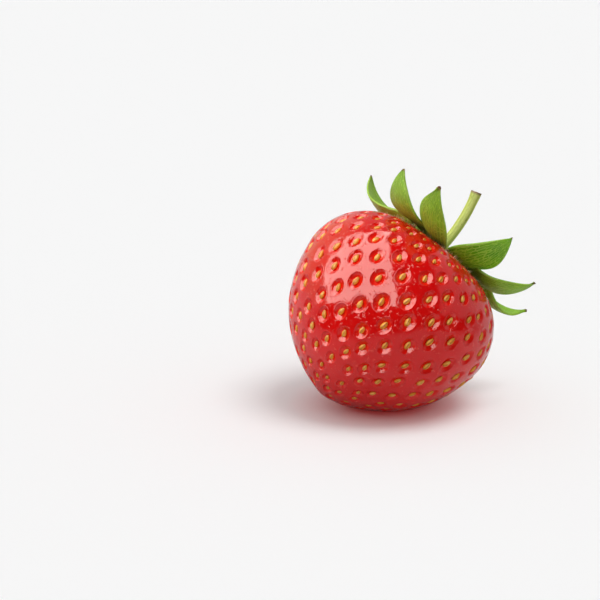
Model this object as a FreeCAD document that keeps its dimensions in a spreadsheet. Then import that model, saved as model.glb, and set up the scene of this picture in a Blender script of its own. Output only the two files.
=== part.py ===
"""Strawberry: one ripe fruit with its calyx of sepals and a short cut stalk.

The fruit is a body of revolution: an arc at the blunt tip, a spline up the flank and an arc over the
shoulder, all tangent, and then the hollow that holds the calyx. A small round cap sits in that hollow,
carries the stalk and holds the sepals at its rim. Each sepal is a thin dished leaf: a rib of two arcs
swept round a second axis and trimmed to a leaf outline.

The fruit frame has its origin at the middle of the calyx, +Z along the stalk and the tip below.
The part frame has +Z up and its origin at the middle of the flat spot that the fruit rests on.
All lengths are millimetres and all angles degrees.
"""
import FreeCAD, Part
import math
import os

import Sketcher

VEC = FreeCAD.Vector
TURN = FreeCAD.Rotation

SIZES = {
    # fruit
    "fruit_radius": 13.9,
    "fruit_length": 23.4,
    "tip_radius": 4.0,
    "tip_turn": 78.0,
    "flank_pull": 6.9,
    "shoulder_radius": 8.9,
    "shoulder_drop": 8.3,
    "shoulder_start": 8.2,
    "shoulder_turn": 102.0,
    "hollow_radius": 2.2,
    "hollow_depth": 0.5,
    # how it lies
    "stalk_tilt": 44.0,
    "stalk_heading": 24.0,
    "rest_flat_depth": 0.42,
    "rest_block": 30.0,
    # cap in the hollow
    "cap_radius": 1.9,
    "cap_height": 1.15,
    "cap_rim": 0.25,
    # stalk
    "stalk_radius": 0.64,
    "stalk_straight": 2.4,
    "stalk_bend_radius": 19.0,
    "stalk_bend": 21.0,
    # what all sepals share
    "sepal_thickness": 0.32,
    "sepal_foot": 1.75,
    "sepal_lead": 21.0,
    "sepal_base_share": 0.24,
    "sepal_sweep": 130.0,
    "trim_margin": 4.0,
}

# One row for each sepal, going round the stalk. Its rib leaves the cap, hugs the shoulder with one
# arc and curls away from it with a second: azimuth, rise and roll of the leaf, lift of its base,
# width, radius and turn of the hugging arc, radius and turn of the curl, and radius of the cup.
SEPAL_SIZES = (
    "azimuth", "rise", "roll", "lift", "width", "hug", "hug_turn", "curl", "curl_turn", "cup",
)
SEPALS = [
    (-82.0, 40.0, 0.0, 0.12, 5.6, 8.9, 15.0, 6.8, 79.0, 3.8),
    (-40.0, 40.0, -7.0, 0.5, 5.6, 8.9, 30.0, 5.5, 84.0, 4.7),
    (-2.0, 5.0, 12.0, 0.12, 5.8, 10.4, 38.0, 6.3, 75.0, 3.8),
    (38.0, 10.0, 0.0, 0.5, 4.6, 9.5, 40.0, 9.0, 42.0, 6.0),
    (70.0, 5.0, 0.0, 0.12, 4.6, 9.1, 48.0, 9.0, 36.0, 6.0),
    (101.0, 12.0, 5.0, 0.55, 4.4, 9.4, 44.0, 7.0, 55.0, 6.0),
    (129.0, 16.0, -13.0, 0.12, 6.9, 9.1, 36.0, 6.2, 78.0, 3.5),
    (188.0, 40.0, 0.0, 0.55, 5.6, 8.9, 31.0, 5.7, 81.0, 8.6),
    (222.0, 12.0, -7.0, 0.12, 5.1, 9.1, 25.0, 13.9, 48.0, 3.7),
]


# How finely the flank is searched for its lowest point.
FLANK_SAMPLES = 2001


def fill_sheet(document):
    """The spreadsheet of driving sizes, one alias for each."""
    sheet = document.addObject("Spreadsheet::Sheet", "Sizes")
    rows = list(SIZES.items())
    for number, sepal in enumerate(SEPALS, 1):
        for name, value in zip(SEPAL_SIZES, sepal):
            rows.append((f"sepal{number}_{name}", value))
    for row, (name, value) in enumerate(rows, 1):
        sheet.set(f"A{row}", name)
        sheet.set(f"B{row}", str(value))
        sheet.setAlias(f"B{row}", name)
    document.recompute()
    return sheet


def origin_plane(body, role):
    """One of a body's own three origin planes."""
    return next(part for part in body.Origin.OriginFeatures if part.Role == role)


def new_body(document, label):
    body = document.addObject("PartDesign::Body", label)
    body.Label = label
    return body


def new_sketch(body, name, role):
    """A sketch laid on one of the body's origin planes."""
    sketch = body.newObject("Sketcher::SketchObject", name)
    sketch.AttachmentSupport = [(origin_plane(body, role), "")]
    sketch.MapMode = "FlatFace"
    return sketch


def bind(sketch, name, constraint, expression):
    """Add a size to a sketch and tie it to the sheet."""
    index = sketch.addConstraint(constraint)
    sketch.renameConstraint(index, name)
    sketch.setExpression(f"Constraints.{name}", expression)


def arc(centre, radius, start, end):
    """Counter-clockwise arc between two angles."""
    circle = Part.Circle(VEC(centre[0], centre[1], 0), VEC(0, 0, 1), radius)
    return Part.ArcOfCircle(circle, math.radians(start), math.radians(end))


def line(first, second):
    return Part.LineSegment(VEC(first[0], first[1], 0), VEC(second[0], second[1], 0))


def angle_of(centre, point):
    return math.degrees(math.atan2(point[1] - centre[1], point[0] - centre[0]))


def round_point(centre, radius, turn, pull=0.0):
    """The point of a circle at an angle, moved along the tangent there by a pull."""
    angle = math.radians(turn)
    return (
        centre[0] + radius * math.cos(angle) - pull * math.sin(angle),
        centre[1] + radius * math.sin(angle) + pull * math.cos(angle),
    )


def fruit_centres(sheet):
    """Centres of the tip arc and of the shoulder arc."""
    tip = (0.0, sheet.tip_radius - sheet.fruit_length)
    shoulder = (sheet.fruit_radius - sheet.shoulder_radius, -sheet.shoulder_drop)
    return tip, shoulder


def flank_curve(sheet):
    """The spline between the two arcs, which leaves each of them along its tangent."""
    tip, shoulder = fruit_centres(sheet)
    pull = sheet.flank_pull
    poles = [
        round_point(tip, sheet.tip_radius, -sheet.tip_turn),
        round_point(tip, sheet.tip_radius, -sheet.tip_turn, pull),
        round_point(shoulder, sheet.shoulder_radius, -sheet.shoulder_start, -pull),
        round_point(shoulder, sheet.shoulder_radius, -sheet.shoulder_start),
    ]
    curve = Part.BSplineCurve()
    curve.buildFromPoles([VEC(x, y, 0) for x, y in poles], False, 3)
    return curve


def resting_placement(sheet):
    """Turns and lifts the fruit frame so that the lowest point of the flank is cut flat at Z = 0."""
    tilt = math.radians(sheet.stalk_tilt)
    down = VEC(math.sin(tilt), -math.cos(tilt), 0)
    lowest = max(flank_curve(sheet).discretize(FLANK_SAMPLES), key=down.dot)
    flat = lowest - down * sheet.rest_flat_depth
    turn = TURN(VEC(0, 0, 1), sheet.stalk_heading) * TURN(VEC(0, 1, 0), sheet.stalk_tilt)
    return FreeCAD.Placement(-turn.multVec(VEC(flat.x, 0, flat.y)), turn)


def revolve(body, sketch, axis):
    feature = body.newObject("PartDesign::Revolution", body.Name + "_turned")
    feature.Profile = sketch
    feature.ReferenceAxis = (sketch, [axis])
    feature.Angle = 360
    return feature


def fruit_profile(body, sheet):
    """Half outline of the fruit in its XZ plane: tip, flank, shoulder, hollow and axis."""
    tip, shoulder = fruit_centres(sheet)
    brim = round_point(shoulder, sheet.shoulder_radius, sheet.shoulder_turn)
    low_join = round_point(tip, sheet.tip_radius, -sheet.tip_turn)
    high_join = round_point(shoulder, sheet.shoulder_radius, -sheet.shoulder_start)
    floor = (sheet.hollow_radius, -sheet.hollow_depth)
    middle = (0.0, -sheet.hollow_depth)

    sketch = new_sketch(body, "fruit_outline", "XZ_Plane")
    sketch.addGeometry(arc(tip, sheet.tip_radius, -90, -sheet.tip_turn))
    sketch.addGeometry(flank_curve(sheet))
    sketch.addGeometry(arc(shoulder, sheet.shoulder_radius, -sheet.shoulder_start, sheet.shoulder_turn))
    sketch.addGeometry(line(brim, floor))
    sketch.addGeometry(line(floor, middle))
    sketch.addGeometry(line(middle, (0.0, -sheet.fruit_length)))

    for first in range(5):
        sketch.addConstraint(Sketcher.Constraint("Coincident", first, 2, first + 1, 1))
    sketch.addConstraint(Sketcher.Constraint("Coincident", 5, 2, 0, 1))
    for geometry, point in ((0, 3), (0, 1), (4, 2)):
        sketch.addConstraint(Sketcher.Constraint("PointOnObject", geometry, point, -2))
    sketch.addConstraint(Sketcher.Constraint("Horizontal", 4))

    bind(sketch, "tip_radius", Sketcher.Constraint("Radius", 0, sheet.tip_radius), "Sizes.tip_radius")
    bind(
        sketch,
        "shoulder_radius",
        Sketcher.Constraint("Radius", 2, sheet.shoulder_radius),
        "Sizes.shoulder_radius",
    )
    bind(
        sketch,
        "low_join",
        Sketcher.Constraint("DistanceX", -1, 1, 0, 2, low_join[0]),
        "Sizes.tip_radius * cos(Sizes.tip_turn * 1 deg)",
    )
    bind(
        sketch,
        "high_join",
        Sketcher.Constraint("DistanceY", 2, 1, 2, 3, shoulder[1] - high_join[1]),
        "Sizes.shoulder_radius * sin(Sizes.shoulder_start * 1 deg)",
    )
    bind(
        sketch,
        "fruit_length",
        Sketcher.Constraint("DistanceY", 0, 1, -1, 1, sheet.fruit_length),
        "Sizes.fruit_length",
    )
    bind(
        sketch,
        "shoulder_out",
        Sketcher.Constraint("DistanceX", -1, 1, 2, 3, shoulder[0]),
        "Sizes.fruit_radius - Sizes.shoulder_radius",
    )
    bind(
        sketch,
        "shoulder_drop",
        Sketcher.Constraint("DistanceY", 2, 3, -1, 1, sheet.shoulder_drop),
        "Sizes.shoulder_drop",
    )
    bind(
        sketch,
        "brim_out",
        Sketcher.Constraint("DistanceX", -1, 1, 2, 2, brim[0]),
        "Sizes.fruit_radius - Sizes.shoulder_radius"
        " + Sizes.shoulder_radius * cos(Sizes.shoulder_turn * 1 deg)",
    )
    bind(
        sketch,
        "hollow_radius",
        Sketcher.Constraint("DistanceX", -1, 1, 4, 1, sheet.hollow_radius),
        "Sizes.hollow_radius",
    )
    bind(
        sketch,
        "hollow_depth",
        Sketcher.Constraint("DistanceY", 4, 1, -1, 1, sheet.hollow_depth),
        "Sizes.hollow_depth",
    )

    # The spline's four poles show as small circles, numbered on from the outline's six lines. The
    # inner two lie on the tangents of the arcs at its ends.
    sketch.exposeInternalGeometry(1)
    low_inner, high_inner = 7, 8
    for name, turn, first, second in (
        ("low", "tip_turn", (0, 2), (low_inner, 3)),
        ("high", "shoulder_start", (high_inner, 3), (2, 1)),
    ):
        angle = math.radians(sheet.get(turn))
        out = Sketcher.Constraint("DistanceX", *first, *second, sheet.flank_pull * math.sin(angle))
        bind(sketch, f"{name}_pull_out", out, f"Sizes.flank_pull * sin(Sizes.{turn} * 1 deg)")
        rise = Sketcher.Constraint("DistanceY", *first, *second, sheet.flank_pull * math.cos(angle))
        bind(sketch, f"{name}_pull_up", rise, f"Sizes.flank_pull * cos(Sizes.{turn} * 1 deg)")
    return sketch


def make_fruit(document, sheet, placement):
    """The flesh, cut flat where it rests."""
    body = new_body(document, "flesh")
    revolve(body, fruit_profile(body, sheet), "V_Axis")
    body.Placement = placement

    block = document.addObject("Part::Box", "rest_block")
    for side in ("Length", "Width", "Height"):
        block.setExpression(side, "Sizes.rest_block")
    for axis in ("x", "y"):
        block.setExpression(f"Placement.Base.{axis}", "-Sizes.rest_block / 2")
    block.setExpression("Placement.Base.z", "-Sizes.rest_block")

    fruit = document.addObject("Part::Cut", "fruit")
    fruit.Base = body
    fruit.Tool = block
    fruit.Label = "fruit"
    return fruit


def make_cap(document, sheet, placement):
    """The low round cap of the calyx, domed round its rim, which fills the bottom of the hollow."""
    body = new_body(document, "calyx_cap")
    radius = sheet.cap_radius
    rim = sheet.cap_rim
    foot = -sheet.hollow_depth
    top = foot + sheet.cap_height

    sketch = new_sketch(body, "cap_outline", "XZ_Plane")
    sketch.addGeometry(line((0, foot), (radius, foot)))
    sketch.addGeometry(line((radius, foot), (radius, top - rim)))
    sketch.addGeometry(arc((radius - rim, top - rim), rim, 0, 90))
    sketch.addGeometry(line((radius - rim, top), (0, top)))
    sketch.addGeometry(line((0, top), (0, foot)))
    sketch.addConstraint(Sketcher.Constraint("Coincident", 0, 2, 1, 1))
    sketch.addConstraint(Sketcher.Constraint("Tangent", 1, 2, 2, 1))
    sketch.addConstraint(Sketcher.Constraint("Tangent", 2, 2, 3, 1))
    sketch.addConstraint(Sketcher.Constraint("Coincident", 3, 2, 4, 1))
    sketch.addConstraint(Sketcher.Constraint("Coincident", 4, 2, 0, 1))
    for flat in (0, 3):
        sketch.addConstraint(Sketcher.Constraint("Horizontal", flat))
    sketch.addConstraint(Sketcher.Constraint("Vertical", 1))
    sketch.addConstraint(Sketcher.Constraint("PointOnObject", 0, 1, -2))
    sketch.addConstraint(Sketcher.Constraint("PointOnObject", 4, 1, -2))
    bind(sketch, "cap_radius", Sketcher.Constraint("DistanceX", 0, 1, 0, 2, radius), "Sizes.cap_radius")
    bind(sketch, "cap_rim", Sketcher.Constraint("Radius", 2, rim), "Sizes.cap_rim")
    bind(
        sketch,
        "cap_height",
        Sketcher.Constraint("DistanceY", 0, 1, 4, 1, sheet.cap_height),
        "Sizes.cap_height",
    )
    bind(
        sketch,
        "hollow_depth",
        Sketcher.Constraint("DistanceY", 0, 1, -1, 1, sheet.hollow_depth),
        "Sizes.hollow_depth",
    )
    revolve(body, sketch, "V_Axis")
    body.Placement = placement
    return body


def make_stalk(document, sheet, placement):
    """The stalk: a round pipe, straight out of the cap and then bent back towards the vertical."""
    body = new_body(document, "stalk")
    foot = sheet.cap_height - sheet.hollow_depth
    bend = sheet.stalk_bend_radius

    path = new_sketch(body, "stalk_path", "XZ_Plane")
    path.addGeometry(line((0, foot), (0, foot + sheet.stalk_straight)))
    path.addGeometry(arc((-bend, foot + sheet.stalk_straight), bend, 0, sheet.stalk_bend))
    path.addConstraint(Sketcher.Constraint("Tangent", 0, 2, 1, 1))
    path.addConstraint(Sketcher.Constraint("Vertical", 0))
    path.addConstraint(Sketcher.Constraint("PointOnObject", 0, 1, -2))
    bind(
        path,
        "foot",
        Sketcher.Constraint("DistanceY", -1, 1, 0, 1, foot),
        "Sizes.cap_height - Sizes.hollow_depth",
    )
    bind(
        path,
        "straight",
        Sketcher.Constraint("DistanceY", 0, 1, 0, 2, sheet.stalk_straight),
        "Sizes.stalk_straight",
    )
    bind(path, "bend_radius", Sketcher.Constraint("Radius", 1, bend), "Sizes.stalk_bend_radius")
    turn = Sketcher.Constraint("Angle", 1, math.radians(sheet.stalk_bend))
    bind(path, "bend", turn, "Sizes.stalk_bend * 1 deg")

    ring = new_sketch(body, "stalk_section", "XY_Plane")
    ring.AttachmentOffset = FreeCAD.Placement(VEC(0, 0, foot), TURN())
    ring.setExpression("AttachmentOffset.Base.z", "Sizes.cap_height - Sizes.hollow_depth")
    ring.addGeometry(Part.Circle(VEC(0, 0, 0), VEC(0, 0, 1), sheet.stalk_radius))
    ring.addConstraint(Sketcher.Constraint("Coincident", 0, 3, -1, 1))
    bind(
        ring,
        "stalk_radius",
        Sketcher.Constraint("Radius", 0, sheet.stalk_radius),
        "Sizes.stalk_radius",
    )
    document.recompute()

    pipe = body.newObject("PartDesign::AdditivePipe", "stalk_pipe")
    pipe.Profile = ring
    pipe.Spine = (path, ["Edge1", "Edge2"])
    body.Placement = placement
    return body


def sepal_sizes(sheet, number):
    return {name: sheet.get(f"sepal{number}_{name}") for name in SEPAL_SIZES}


def rib_turns(size, sheet):
    """How far the rib points below the leaf frame's X axis at its base, at the joint of its arcs
    and at its tip, in degrees."""
    base = size["rise"] - sheet.sepal_lead
    joint = base + size["hug_turn"]
    return base, joint, joint - size["curl_turn"]


def rib_turn_words(number):
    """The same three angles as expressions for the sheet."""
    leaf = f"Sizes.sepal{number}_"
    base = f"({leaf}rise - Sizes.sepal_lead)"
    joint = f"({base} + {leaf}hug_turn)"
    return base, joint, f"({joint} - {leaf}curl_turn)"


def along(radius, turn):
    """The point of a circle of this radius where a rightward path on its top falls by a turn."""
    return (radius * math.sin(math.radians(turn)), radius * math.cos(math.radians(turn)))


def rib_centres(size, sheet):
    """Centres of the hugging arc and of the curl, with the cup axis as the X axis."""
    base, joint = rib_turns(size, sheet)[:2]
    start = along(size["hug"], base)
    hug = (-start[0], -start[1] - size["cup"])
    step = along(size["hug"] + size["curl"], joint)
    return hug, (hug[0] + step[0], hug[1] + step[1])


def sepal_dish(body, sheet, number):
    """The leaf's thin dish: the strip along its rib, turned about the cup axis above it.

    The leaf frame has its base at X = 0, the cup axis as X axis and the rib below that axis.
    """
    size = sepal_sizes(sheet, number)
    base, joint, tip = rib_turns(size, sheet)
    hug, curl = rib_centres(size, sheet)
    thick = sheet.sepal_thickness
    back = base - sheet.trim_margin
    front = tip - sheet.trim_margin

    sketch = new_sketch(body, f"rib_strip_{number}", "XZ_Plane")
    sketch.addGeometry(arc(hug, size["hug"], 90 - joint, 90 - back))
    sketch.addGeometry(arc(hug, size["hug"] + thick, 90 - joint, 90 - back))
    sketch.addGeometry(arc(curl, size["curl"], 270 - joint, 270 - front))
    sketch.addGeometry(arc(curl, size["curl"] - thick, 270 - joint, 270 - front))
    ends = [sketch.getPoint(index, 2) for index in range(4)]
    sketch.addGeometry(line(ends[0], ends[1]))
    sketch.addGeometry(line(ends[2], ends[3]))
    for under, over, edge in ((0, 1, 4), (2, 3, 5)):
        sketch.addConstraint(Sketcher.Constraint("Coincident", under, 3, over, 3))
        sketch.addConstraint(Sketcher.Constraint("Coincident", under, 2, edge, 1))
        sketch.addConstraint(Sketcher.Constraint("Coincident", over, 2, edge, 2))
        sketch.addConstraint(Sketcher.Constraint("PointOnObject", under, 3, edge))
    for under, over in ((0, 2), (1, 3)):
        sketch.addConstraint(Sketcher.Constraint("Tangent", under, 1, over, 1))

    leaf = f"Sizes.sepal{number}_"
    base_word, joint_word, tip_word = rib_turn_words(number)
    margin = "Sizes.trim_margin"
    bind(sketch, "hug", Sketcher.Constraint("Radius", 0, size["hug"]), leaf + "hug")
    over = Sketcher.Constraint("Radius", 1, size["hug"] + thick)
    bind(sketch, "hug_over", over, leaf + "hug + Sizes.sepal_thickness")
    bind(sketch, "curl", Sketcher.Constraint("Radius", 2, size["curl"]), leaf + "curl")
    centre_x = Sketcher.Constraint("DistanceX", -1, 1, 0, 3, hug[0])
    bind(sketch, "hug_x", centre_x, f"-{leaf}hug * sin({base_word} * 1 deg)")
    centre_y = Sketcher.Constraint("DistanceY", -1, 1, 0, 3, hug[1])
    bind(sketch, "hug_y", centre_y, f"-{leaf}hug * cos({base_word} * 1 deg) - {leaf}cup")
    joint_x = Sketcher.Constraint("DistanceX", 0, 3, 0, 1, along(size["hug"], joint)[0])
    bind(sketch, "joint_x", joint_x, f"{leaf}hug * sin({joint_word} * 1 deg)")
    back_x = Sketcher.Constraint("DistanceX", 0, 3, 0, 2, along(size["hug"], back)[0])
    bind(sketch, "back_x", back_x, f"{leaf}hug * sin(({base_word} - {margin}) * 1 deg)")
    front_x = Sketcher.Constraint("DistanceX", 2, 3, 2, 2, -along(size["curl"], front)[0])
    bind(sketch, "front_x", front_x, f"-{leaf}curl * sin(({tip_word} - {margin}) * 1 deg)")

    dish = revolve(body, sketch, "H_Axis")
    dish.Midplane = True
    dish.setExpression("Angle", "Sizes.sepal_sweep")
    return dish


def trim_leaf(body, sheet, number):
    """Cuts the dish away outside a leaf outline: a narrow base and two arcs that meet at the tip."""
    size = sepal_sizes(sheet, number)
    tip_turn = rib_turns(size, sheet)[2]
    curl = rib_centres(size, sheet)[1]
    length = curl[0] - along(size["curl"], tip_turn)[0]
    half_base = sheet.sepal_base_share * size["width"] / 2
    rise = size["width"] / 2 - half_base / 2
    chord = math.hypot(length, half_base)
    radius = chord**2 / (8 * rise) + rise / 2
    from_chord = radius - rise
    low = (
        length / 2 - half_base / chord * from_chord,
        half_base / 2 - length / chord * from_chord,
    )
    high = (low[0], -low[1])
    corners = [(0.0, half_base), (0.0, -half_base), (length, 0.0)]
    reach = length + size["width"]
    frame = [(-reach, -reach), (reach, -reach), (reach, reach), (-reach, reach)]

    sketch = new_sketch(body, f"leaf_outline_{number}", "XY_Plane")
    sketch.addGeometry(line(corners[0], corners[1]))
    sketch.addGeometry(arc(high, radius, angle_of(high, corners[1]), angle_of(high, corners[2])))
    sketch.addGeometry(arc(low, radius, angle_of(low, corners[2]), angle_of(low, corners[0])))
    for index, corner in enumerate(frame):
        sketch.addGeometry(line(corner, frame[(index + 1) % 4]))
    for index in range(3):
        sketch.addConstraint(Sketcher.Constraint("Coincident", index, 2, (index + 1) % 3, 1))
    sketch.addConstraint(Sketcher.Constraint("Symmetric", 0, 1, 0, 2, -1))
    sketch.addConstraint(Sketcher.Constraint("PointOnObject", 0, 1, -2))
    sketch.addConstraint(Sketcher.Constraint("PointOnObject", 1, 2, -1))
    sketch.addConstraint(Sketcher.Constraint("Equal", 1, 2))
    for side in range(4):
        sketch.addConstraint(Sketcher.Constraint("Coincident", 3 + side, 2, 3 + (side + 1) % 4, 1))
        sketch.addConstraint(Sketcher.Constraint("Vertical" if side % 2 else "Horizontal", 3 + side))

    leaf = f"Sizes.sepal{number}_"
    base_word, joint_word, tip_word = rib_turn_words(number)
    length_word = (
        f"(({leaf}hug + {leaf}curl) * sin({joint_word} * 1 deg)"
        f" - {leaf}hug * sin({base_word} * 1 deg) - {leaf}curl * sin({tip_word} * 1 deg))"
    )
    foot_word = f"({leaf}width * Sizes.sepal_base_share)"
    rise_word = f"({leaf}width / 2 - {foot_word} / 4)"
    reach_to_tip = Sketcher.Constraint("DistanceX", -1, 1, 1, 2, length)
    bind(sketch, "length", reach_to_tip, length_word)
    foot = Sketcher.Constraint("DistanceY", 0, 2, 0, 1, 2 * half_base)
    bind(sketch, "foot", foot, foot_word)
    reach_word = f"({length_word} + {leaf}width)"
    for name, kind, first, second in (
        ("frame_right", "DistanceX", (-1, 1), (4, 1)),
        ("frame_top", "DistanceY", (-1, 1), (5, 1)),
        ("frame_left", "DistanceX", (6, 1), (-1, 1)),
        ("frame_foot", "DistanceY", (3, 1), (-1, 1)),
    ):
        bind(sketch, name, Sketcher.Constraint(kind, *first, *second, reach), reach_word)
    bind(
        sketch,
        "side",
        Sketcher.Constraint("Radius", 1, radius),
        f"({length_word} ^ 2 + ({foot_word} / 2) ^ 2) / (8 * {rise_word}) + {rise_word} / 2",
    )

    cut = body.newObject("PartDesign::Pocket", f"leaf_trim_{number}")
    cut.Profile = sketch
    cut.Type = "ThroughAll"
    cut.Midplane = True
    return cut


def sepal_placement(sheet, number, placement):
    """Stands a leaf's base at the rim of the cap, turned to its azimuth, rise and roll."""
    size = sepal_sizes(sheet, number)
    to_base = FreeCAD.Placement(VEC(0, 0, size["cup"]), TURN())
    roll = FreeCAD.Placement(VEC(), TURN(VEC(1, 0, 0), size["roll"]))
    rise = FreeCAD.Placement(VEC(sheet.sepal_foot, 0, size["lift"]), TURN(VEC(0, 1, 0), -size["rise"]))
    azimuth = FreeCAD.Placement(VEC(), TURN(VEC(0, 0, 1), size["azimuth"]))
    return placement * azimuth * rise * roll * to_base


def make_sepal(document, sheet, number, placement):
    body = new_body(document, f"sepal_{number}")
    sepal_dish(body, sheet, number)
    document.recompute()
    trim_leaf(body, sheet, number)
    body.Placement = sepal_placement(sheet, number, placement)
    return body


def check_document(document, nodes):
    """Stops before anything is written if an object failed or a solid isn't sound."""
    for item in document.Objects:
        if "Invalid" in item.State or "Error" in item.State:
            raise RuntimeError(f"{item.Label} failed: {item.State}")
    for node in nodes:
        shape = node.Shape
        if shape.isNull() or not shape.isValid() or len(shape.Solids) != 1:
            raise RuntimeError(f"{node.Label} isn't one valid solid")


def write_parts(nodes):
    os.makedirs("parts", exist_ok=True)
    for node in nodes:
        node.Shape.exportStep(f"parts/{node.Label}.step")
        print(f"{node.Label}: {node.Shape.Volume:.1f} mm3")


document = FreeCAD.newDocument("strawberry")
sheet = fill_sheet(document)
placement = resting_placement(sheet)
nodes = [
    make_fruit(document, sheet, placement),
    make_cap(document, sheet, placement),
    make_stalk(document, sheet, placement),
]
for number in range(1, len(SEPALS) + 1):
    nodes.append(make_sepal(document, sheet, number, placement))
document.recompute()
check_document(document, nodes)
write_parts(nodes)
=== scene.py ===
"""A ripe strawberry lying on its side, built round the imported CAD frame. Lengths are in metres."""

import math
import random

import bmesh
import bpy
from mathutils import Matrix, Vector, noise
from mathutils.geometry import interpolate_bezier
from mathutils.kdtree import KDTree


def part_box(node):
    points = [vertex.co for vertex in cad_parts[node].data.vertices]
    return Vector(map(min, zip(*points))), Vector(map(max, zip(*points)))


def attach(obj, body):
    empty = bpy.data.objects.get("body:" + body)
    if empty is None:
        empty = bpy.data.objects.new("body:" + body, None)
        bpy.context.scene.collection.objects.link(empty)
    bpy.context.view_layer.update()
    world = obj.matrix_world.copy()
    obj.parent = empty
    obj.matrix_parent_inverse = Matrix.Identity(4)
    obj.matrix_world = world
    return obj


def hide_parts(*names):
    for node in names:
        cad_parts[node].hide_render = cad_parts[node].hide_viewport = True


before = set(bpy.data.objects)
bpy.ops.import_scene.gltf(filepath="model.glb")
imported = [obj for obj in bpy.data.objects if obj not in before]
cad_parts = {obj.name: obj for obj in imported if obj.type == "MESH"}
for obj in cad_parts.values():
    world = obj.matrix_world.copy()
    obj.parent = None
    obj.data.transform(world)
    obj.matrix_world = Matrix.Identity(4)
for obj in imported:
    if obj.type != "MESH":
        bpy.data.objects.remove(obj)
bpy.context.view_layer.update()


# ---------------------------------------------------------------------------------------------
# The studio: a white table in a white room, brightest overhead. A soft key light from the left is
# kept off the table, which has a light of its own and a painted shadow round the fruit, tinted red
# as by light through it. The wet skin mirrors a big softbox, the white board round it and pale
# reflectors.
# ---------------------------------------------------------------------------------------------
CAMERA_PLACE = (-0.01158, -0.25128, 0.08145)
CAMERA_DROP = math.radians(15)
CAMERA_LENS = 120
FILM_WIDTH = 36
NEAR_LIMIT = 0.005
TABLE_REACH = 4.0
TABLE_ROUGHNESS = 0.7
TABLE_WHITE = (0.76, 0.76, 0.76)
TABLE_FILL = (0.185, 0.185, 0.185)
# The table's painted shadow: a dark red glow where the fruit rests stands for its shadow and the red
# light through it, and fades to the fill over this span.
PAINTED_RED_SHADOW = (0.14, 0.0, 0.0)
PAINTED_SHADOW_EDGE = (0.005, 0.0135)
TABLE_SEEN = 0.93
BOARD_EDGE = (0.052, 0.064)
BOARD_BACK = (-0.01, 0.03)
BOARD_DARK = (0.03, 0.03, 0.03)
SOFTBOX_CORNERS = (
    (-0.243, -0.034, 0.028),
    (-0.177, 0.037, 0.088),
    (-0.100, 0.070, 0.149),
    (-0.046, 0.073, 0.190),
    (0.066, 0.178, 0.288),
    (-0.059, -0.463, 0.109),
)
SOFTBOX_WARMTH = (1.0, 0.96, 0.88, 1)
SOFTBOX_GLOW = 8.0
# where a light comes from, its spread in degrees, its power
KEY_LIGHT = ((-0.55, -0.22, 1.0), 40, 2.2)
TABLE_LIGHT = ((0.35, -0.15, 1.0), 30, 1.4)
# a side of the room, the shares of it between which the strength changes, from what to what
OVERHEAD = ((0.4, 0, 0.92), (0.0, 1.0), (0.39, 0.67))
WARM_SIDE = ((-1, 0, 0), (0.0, 0.4))
WARM_WHITE = (1.0, 0.97, 0.66)
REFLECTORS = (
    ((0.94, 0.33, -0.10), (0.52, 0.57), (0.03, 0.68)),
    ((-0.75, 0.65, 0.10), (0.58, 0.74), (0.03, 0.85)),
    ((0, 1, 0), (0.35, 0.55), (0.03, 0.35)),
)


def new_material(name, roughness):
    """A material with its shader, ready for the nodes that colour it."""
    material = bpy.data.materials.new(name)
    material.use_nodes = True
    shader = material.node_tree.nodes["Principled BSDF"]
    shader.inputs["Roughness"].default_value = roughness
    return material, shader


def link_object(name, data):
    thing = bpy.data.objects.new(name, data)
    bpy.context.collection.objects.link(thing)
    return thing


def hand_mesh(name, mesh, material):
    """Turns a finished bmesh into an object with one material."""
    data = bpy.data.meshes.new(name)
    mesh.to_mesh(data)
    mesh.free()
    data.materials.append(material)
    return link_object(name, data)


def add_range(material, value, low, high, to_low=0.0, to_high=1.0):
    """Stretches the part of a value between two limits."""
    tree = material.node_tree
    stretch = tree.nodes.new("ShaderNodeMapRange")
    stretch.inputs["From Min"].default_value = low
    stretch.inputs["From Max"].default_value = high
    stretch.inputs["To Min"].default_value = to_low
    stretch.inputs["To Max"].default_value = to_high
    tree.links.new(value, stretch.inputs["Value"])
    return stretch.outputs["Result"]


def add_mix(material, share, first, second):
    """Mixes two colours, each a fixed colour or another node's."""
    tree = material.node_tree
    mix = tree.nodes.new("ShaderNodeMix")
    mix.data_type = "RGBA"
    tree.links.new(share, mix.inputs["Factor"])
    for colour, socket in ((first, mix.inputs["A"]), (second, mix.inputs["B"])):
        if isinstance(colour, tuple):
            socket.default_value = (*colour, 1)
        else:
            tree.links.new(colour, socket)
    return mix.outputs["Result"]


def join_values(material, operation, first, second):
    """Two values put together, the second a plain number or another node's."""
    tree = material.node_tree
    joined = tree.nodes.new("ShaderNodeMath")
    joined.operation = operation
    tree.links.new(first, joined.inputs[0])
    if isinstance(second, float):
        joined.inputs[1].default_value = second
    else:
        tree.links.new(second, joined.inputs[1])
    return joined.outputs["Value"]


camera = link_object("camera", bpy.data.cameras.new("camera"))
camera.location = CAMERA_PLACE
camera.rotation_euler = (math.radians(90) - CAMERA_DROP, 0, 0)
camera.data.lens = CAMERA_LENS
camera.data.sensor_width = FILM_WIDTH
camera.data.clip_start = NEAR_LIMIT
bpy.context.scene.camera = camera
bpy.context.scene.view_settings.view_transform = "Standard"

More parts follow.
